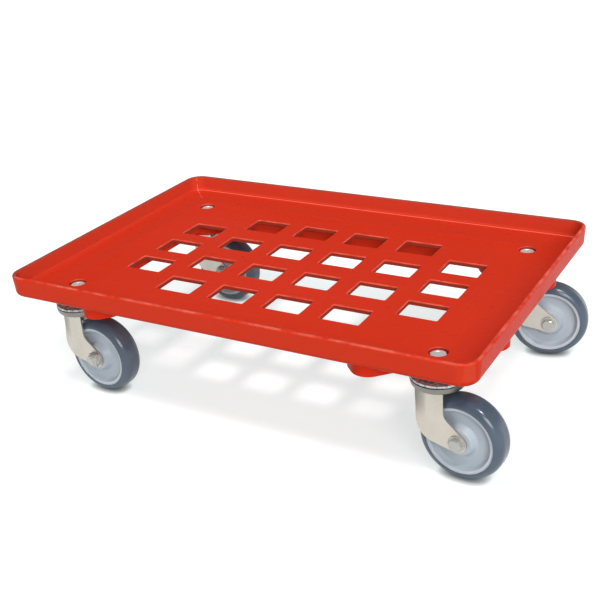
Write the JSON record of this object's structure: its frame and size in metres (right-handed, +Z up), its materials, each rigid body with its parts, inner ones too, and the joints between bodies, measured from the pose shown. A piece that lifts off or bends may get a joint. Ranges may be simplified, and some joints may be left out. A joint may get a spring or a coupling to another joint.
{
  "type": "crate dolly",
  "caption": "Flat tray dolly for moving stacked crates: a rimmed plastic deck with rectangular openings, carried on swivel casters with soft-tread wheels.",
  "frame": {"origin": "centre of the load face, the flat floor of the tray", "axes": "+X along the deck's long side, +Y along its short side towards the back, +Z up"},
  "size_m": [0.638, 0.4198, 0.1689],
  "materials": {
    "deck_plastic": "moulded, satin gloss",
    "zinc_plate": "zinc plated pressed sheet",
    "bright_zinc": "bright zinc plated",
    "ball_steel": "polished",
    "wheel_plastic": "moulded, satin",
    "bush_plastic": "plain bearing plastic",
    "tyre_tread": "soft grey tread, smooth"
  },
  "bodies": {
    "deck": {"deck": "deck_plastic", "fixing_bolts": "bright_zinc", "fixing_nuts": "bright_zinc", "top_cup_front_left": "bright_zinc", "kingpin_front_left": "bright_zinc", "lower_dish_front_left": "bright_zinc", "top_cup_front_right": "bright_zinc", "kingpin_front_right": "bright_zinc", "lower_dish_front_right": "bright_zinc", "top_cup_rear_left": "bright_zinc", "kingpin_rear_left": "bright_zinc", "lower_dish_rear_left": "bright_zinc", "top_cup_rear_right": "bright_zinc", "kingpin_rear_right": "bright_zinc", "lower_dish_rear_right": "bright_zinc"},
    "caster_front_left": {"upper_balls_front_left": "ball_steel", "lower_balls_front_left": "ball_steel", "fork_front_left": "zinc_plate", "axle_bolt_front_left": "bright_zinc", "axle_nut_front_left": "bright_zinc", "axle_sleeve_front_left": "bright_zinc"},
    "wheel_front_left": {"wheel_bush_front_left": "bush_plastic", "wheel_rim_front_left": "wheel_plastic", "tyre_front_left": "tyre_tread"},
    "caster_front_right": {"upper_balls_front_right": "ball_steel", "lower_balls_front_right": "ball_steel", "fork_front_right": "zinc_plate", "axle_bolt_front_right": "bright_zinc", "axle_nut_front_right": "bright_zinc", "axle_sleeve_front_right": "bright_zinc"},
    "wheel_front_right": {"wheel_bush_front_right": "bush_plastic", "wheel_rim_front_right": "wheel_plastic", "tyre_front_right": "tyre_tread"},
    "caster_rear_left": {"upper_balls_rear_left": "ball_steel", "lower_balls_rear_left": "ball_steel", "fork_rear_left": "zinc_plate", "axle_bolt_rear_left": "bright_zinc", "axle_nut_rear_left": "bright_zinc", "axle_sleeve_rear_left": "bright_zinc"},
    "wheel_rear_left": {"wheel_bush_rear_left": "bush_plastic", "wheel_rim_rear_left": "wheel_plastic", "tyre_rear_left": "tyre_tread"},
    "caster_rear_right": {"upper_balls_rear_right": "ball_steel", "lower_balls_rear_right": "ball_steel", "fork_rear_right": "zinc_plate", "axle_bolt_rear_right": "bright_zinc", "axle_nut_rear_right": "bright_zinc", "axle_sleeve_rear_right": "bright_zinc"},
    "wheel_rear_right": {"wheel_bush_rear_right": "bush_plastic", "wheel_rim_rear_right": "wheel_plastic", "tyre_rear_right": "tyre_tread"}
  },
  "joints": [
    {"name": "swivel_front_left", "type": "hinge", "parent": "deck", "child": "caster_front_left", "pos_m": [-0.2475, -0.149, -0.015], "axis": [0, 0, 1], "continuous": true},
    {"name": "spin_front_left", "type": "hinge", "parent": "caster_front_left", "child": "wheel_front_left", "pos_m": [-0.21705, -0.1507, -0.0944], "axis": [0.0558, 0.9984, 0], "continuous": true},
    {"name": "swivel_front_right", "type": "hinge", "parent": "deck", "child": "caster_front_right", "pos_m": [0.2475, -0.149, -0.015], "axis": [0, 0, 1], "continuous": true},
    {"name": "spin_front_right", "type": "hinge", "parent": "caster_front_right", "child": "wheel_front_right", "pos_m": [0.27789, -0.15161, -0.0944], "axis": [0.0854, 0.9963, 0], "continuous": true},
    {"name": "swivel_rear_left", "type": "hinge", "parent": "deck", "child": "caster_rear_left", "pos_m": [-0.2475, 0.149, -0.015], "axis": [0, 0, 1], "continuous": true},
    {"name": "spin_rear_left", "type": "hinge", "parent": "caster_rear_left", "child": "wheel_rear_left", "pos_m": [-0.21702, 0.14794, -0.0944], "axis": [0.0349, 0.9994, 0], "continuous": true},
    {"name": "swivel_rear_right", "type": "hinge", "parent": "deck", "child": "caster_rear_right", "pos_m": [0.2475, 0.149, -0.015], "axis": [0, 0, 1], "continuous": true},
    {"name": "spin_rear_right", "type": "hinge", "parent": "caster_rear_right", "child": "wheel_rear_right", "pos_m": [0.27717, 0.15607, -0.0944], "axis": [-0.2317, 0.9728, 0], "continuous": true}
  ]
}
